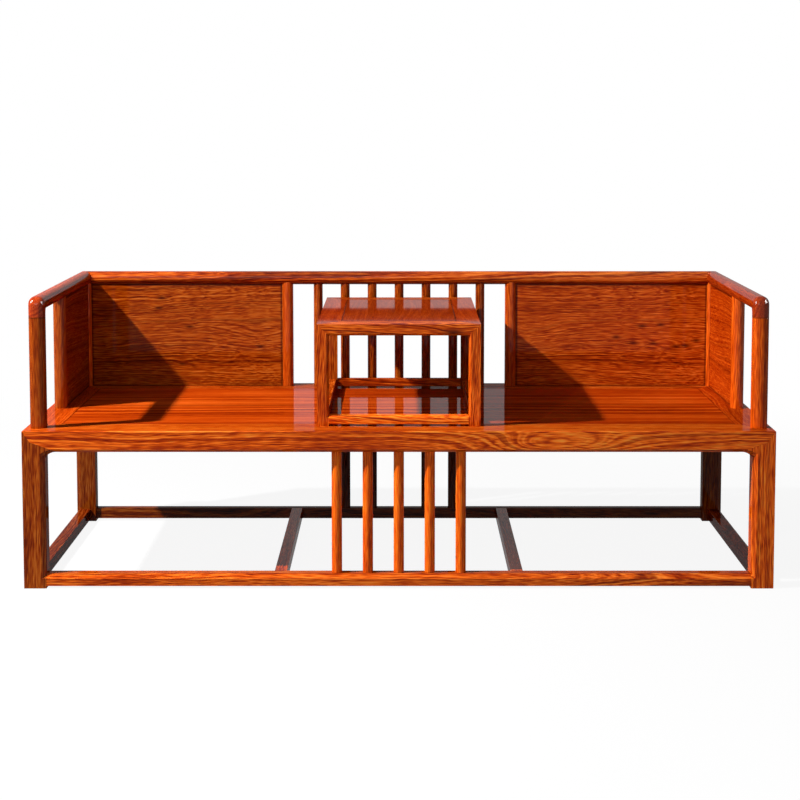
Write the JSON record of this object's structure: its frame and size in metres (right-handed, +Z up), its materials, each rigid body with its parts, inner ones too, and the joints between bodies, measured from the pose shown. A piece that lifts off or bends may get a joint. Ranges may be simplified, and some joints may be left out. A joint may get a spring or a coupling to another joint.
{
  "type": "luohan daybed",
  "caption": "Low hardwood daybed with flush mitred frame, panelled and spindled back and arms, open base with stretchers, and a small lift-off kang table on the seat.",
  "frame": {"origin": "on the floor, under the middle of the bed", "axes": "+X along the bed, to the right as seen from the open front; +Y from the open front to the back; +Z up"},
  "size_m": [2, 0.93, 0.778],
  "materials": {
    "frame_wood": "gloss lacquer",
    "seat_panel_wood": "gloss lacquer",
    "stretcher_wood": "gloss lacquer",
    "spindle_wood": "gloss lacquer",
    "back_frame_wood": "gloss lacquer",
    "back_panel_wood": "gloss lacquer",
    "table_wood": "gloss lacquer",
    "table_panel_wood": "gloss lacquer"
  },
  "bodies": {
    "bed": {"back_spindle_1": "spindle_wood", "back_spindle_2": "spindle_wood", "back_spindle_3": "spindle_wood", "back_spindle_4": "spindle_wood", "back_spindle_5": "spindle_wood", "back_spindle_6": "spindle_wood", "back_spindle_7": "spindle_wood", "back_top_rail": "back_frame_wood", "front_left_leg": "frame_wood", "front_right_leg": "frame_wood", "front_spindle_1": "spindle_wood", "front_spindle_2": "spindle_wood", "front_spindle_3": "spindle_wood", "front_spindle_4": "spindle_wood", "front_spindle_5": "spindle_wood", "front_stretcher": "stretcher_wood", "left_arm_front_post": "back_frame_wood", "left_arm_mid_post": "back_frame_wood", "left_arm_panel": "back_panel_wood", "left_arm_rail": "back_frame_wood", "left_back_mid_post": "back_frame_wood", "left_back_panel": "back_panel_wood", "left_cross_stretcher": "stretcher_wood", "left_rear_corner_post": "back_frame_wood", "left_stretcher": "stretcher_wood", "rear_left_leg": "frame_wood", "rear_right_leg": "frame_wood", "rear_spindles": "spindle_wood", "rear_stretcher": "stretcher_wood", "right_arm_front_post": "back_frame_wood", "right_arm_mid_post": "back_frame_wood", "right_arm_panel": "back_panel_wood", "right_arm_rail": "back_frame_wood", "right_back_mid_post": "back_frame_wood", "right_back_panel": "back_panel_wood", "right_cross_stretcher": "stretcher_wood", "right_rear_corner_post": "back_frame_wood", "right_stretcher": "stretcher_wood", "seat_battens": "frame_wood", "seat_front_rail": "frame_wood", "seat_left_rail": "frame_wood", "seat_panel": "seat_panel_wood", "seat_rear_rail": "frame_wood", "seat_right_rail": "frame_wood"},
    "table": {"table_batten": "table_wood", "table_front_left_leg": "table_wood", "table_front_rail": "table_wood", "table_front_right_leg": "table_wood", "table_front_stretcher": "table_wood", "table_left_rail": "table_wood", "table_left_stretcher": "table_wood", "table_panel": "table_panel_wood", "table_rear_left_leg": "table_wood", "table_rear_rail": "table_wood", "table_rear_right_leg": "table_wood", "table_rear_stretcher": "table_wood", "table_right_rail": "table_wood", "table_right_stretcher": "table_wood"}
  },
  "joints": [
    {"name": "table_lift", "type": "slide", "parent": "bed", "child": "table", "axis": [0, 0, 1], "range_m": [0, 0.4]}
  ]
}
